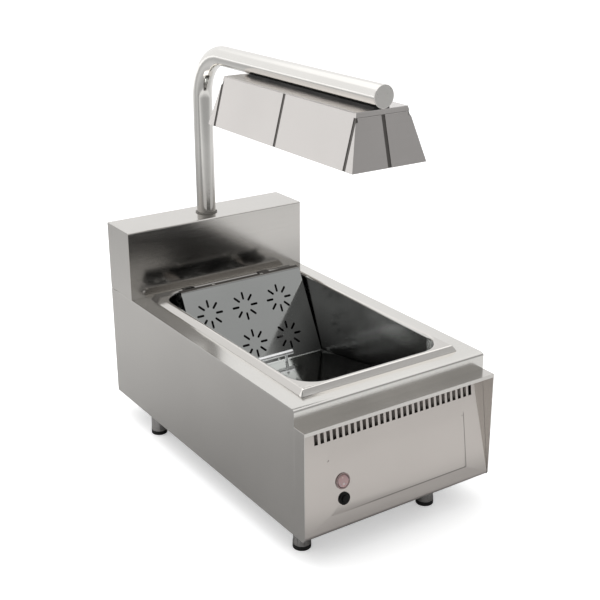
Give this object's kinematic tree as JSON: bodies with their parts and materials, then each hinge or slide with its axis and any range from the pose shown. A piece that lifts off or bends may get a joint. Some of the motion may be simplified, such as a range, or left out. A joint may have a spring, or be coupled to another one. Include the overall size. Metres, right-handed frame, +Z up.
{
  "type": "chip warmer",
  "caption": "Counter-top chip warmer: stainless cabinet with a lift-out pan, a perforated drain plate and a heated hood on a bent tube.",
  "frame": {"origin": "on the counter, under the centre of the bounding box", "axes": "+X to the right seen from the front, -Y towards the user, +Z up"},
  "size_m": [0.4, 0.7, 0.7628],
  "materials": {
    "cabinet_steel": "satin brushed stainless sheet",
    "liner_steel": "plain mill finish",
    "heater_silicone": "silicone heating mat",
    "pan_steel": "polished stainless",
    "plate_steel": "satin stainless",
    "chrome": "bright",
    "tube_steel": "bright polished stainless",
    "black_rubber": "matte",
    "hood_steel": "satin stainless",
    "dark_skin": "heat-resisting black",
    "reflector_bright": "bright rolled",
    "ceramic_white": "glazed off-white",
    "zinc_steel": "zinc plated",
    "black_nylon": "moulded",
    "bezel_plastic": "smooth",
    "red_lens": "translucent lens",
    "foot_steel": "satin"
  },
  "bodies": {
    "cabinet": {"side_panel_left": "cabinet_steel", "side_panel_right": "cabinet_steel", "worktop": "cabinet_steel", "base_plate": "cabinet_steel", "back_panel": "cabinet_steel", "riser_cover": "cabinet_steel", "console_frame": "cabinet_steel", "control_panel": "cabinet_steel", "post_socket": "cabinet_steel", "well_liner": "liner_steel", "heater_mat_front": "heater_silicone", "heater_mat_rear": "heater_silicone", "gantry_tube": "tube_steel", "tube_end_cap": "tube_steel", "post_grommet": "black_rubber", "hood_saddle": "black_rubber", "hood_top": "hood_steel", "hood_side_left_front": "hood_steel", "hood_side_left_rear": "hood_steel", "hood_side_right_front": "hood_steel", "hood_side_right_rear": "hood_steel", "hood_end_front_left": "hood_steel", "hood_end_rear_left": "hood_steel", "hood_end_front_right": "hood_steel", "hood_end_rear_right": "hood_steel", "hood_inner_skin": "dark_skin", "reflector": "reflector_bright", "emitter_1": "ceramic_white", "emitter_2": "ceramic_white", "emitter_3": "ceramic_white", "emitter_rail": "zinc_steel", "hood_bolt_front": "zinc_steel", "hood_bolt_rear": "zinc_steel", "foot_bush_front_left": "zinc_steel", "foot_bush_front_right": "zinc_steel", "foot_bush_rear_left": "zinc_steel", "foot_bush_rear_right": "zinc_steel", "cable_gland": "black_nylon", "gland_locknut": "black_nylon", "reset_collar": "black_nylon", "terminal_block": "black_nylon", "switch_housing": "bezel_plastic"},
    "pan": {"gn_pan": "pan_steel"},
    "plate": {"drain_plate": "plate_steel", "hook_rivet_left": "plate_steel", "hook_rivet_right": "plate_steel", "lift_handle": "chrome"},
    "rocker": {"power_rocker": "red_lens"},
    "button": {"reset_button": "black_nylon"},
    "front_left_foot": {"foot_front_left": "foot_steel", "foot_pad_front_left": "black_rubber"},
    "front_right_foot": {"foot_front_right": "foot_steel", "foot_pad_front_right": "black_rubber"},
    "rear_left_foot": {"foot_rear_left": "foot_steel", "foot_pad_rear_left": "black_rubber"},
    "rear_right_foot": {"foot_rear_right": "foot_steel", "foot_pad_rear_right": "black_rubber"}
  },
  "joints": [
    {"name": "pan_lift", "type": "slide", "parent": "cabinet", "child": "pan", "axis": [0, 0, 1], "range_m": [0, 0.2]},
    {"name": "plate_lift", "type": "slide", "parent": "pan", "child": "plate", "axis": [0, 0, 1], "range_m": [0, 0.17]},
    {"name": "rocker_tilt", "type": "hinge", "parent": "cabinet", "child": "rocker", "pos_m": [-0.116, -0.3382, 0.13468], "axis": [1, 0, 0], "range_deg": [0, 18]},
    {"name": "reset_press", "type": "slide", "parent": "cabinet", "child": "button", "axis": [0, 0.9894, -0.1449], "range_m": [0, 0.002], "stiffness_N_per_m": 500, "springref_m": -0.001},
    {"name": "front_left_foot_turn", "type": "hinge", "parent": "cabinet", "child": "front_left_foot", "pos_m": [-0.164, -0.289, 0.025], "axis": [0, 0, 1], "continuous": true},
    {"name": "front_right_foot_turn", "type": "hinge", "parent": "cabinet", "child": "front_right_foot", "pos_m": [0.099, -0.296, 0.025], "axis": [0, 0, 1], "continuous": true},
    {"name": "rear_left_foot_turn", "type": "hinge", "parent": "cabinet", "child": "rear_left_foot", "pos_m": [-0.174, 0.217, 0.025], "axis": [0, 0, 1], "continuous": true},
    {"name": "rear_right_foot_turn", "type": "hinge", "parent": "cabinet", "child": "rear_right_foot", "pos_m": [0.174, 0.217, 0.025], "axis": [0, 0, 1], "continuous": true}
  ]
}
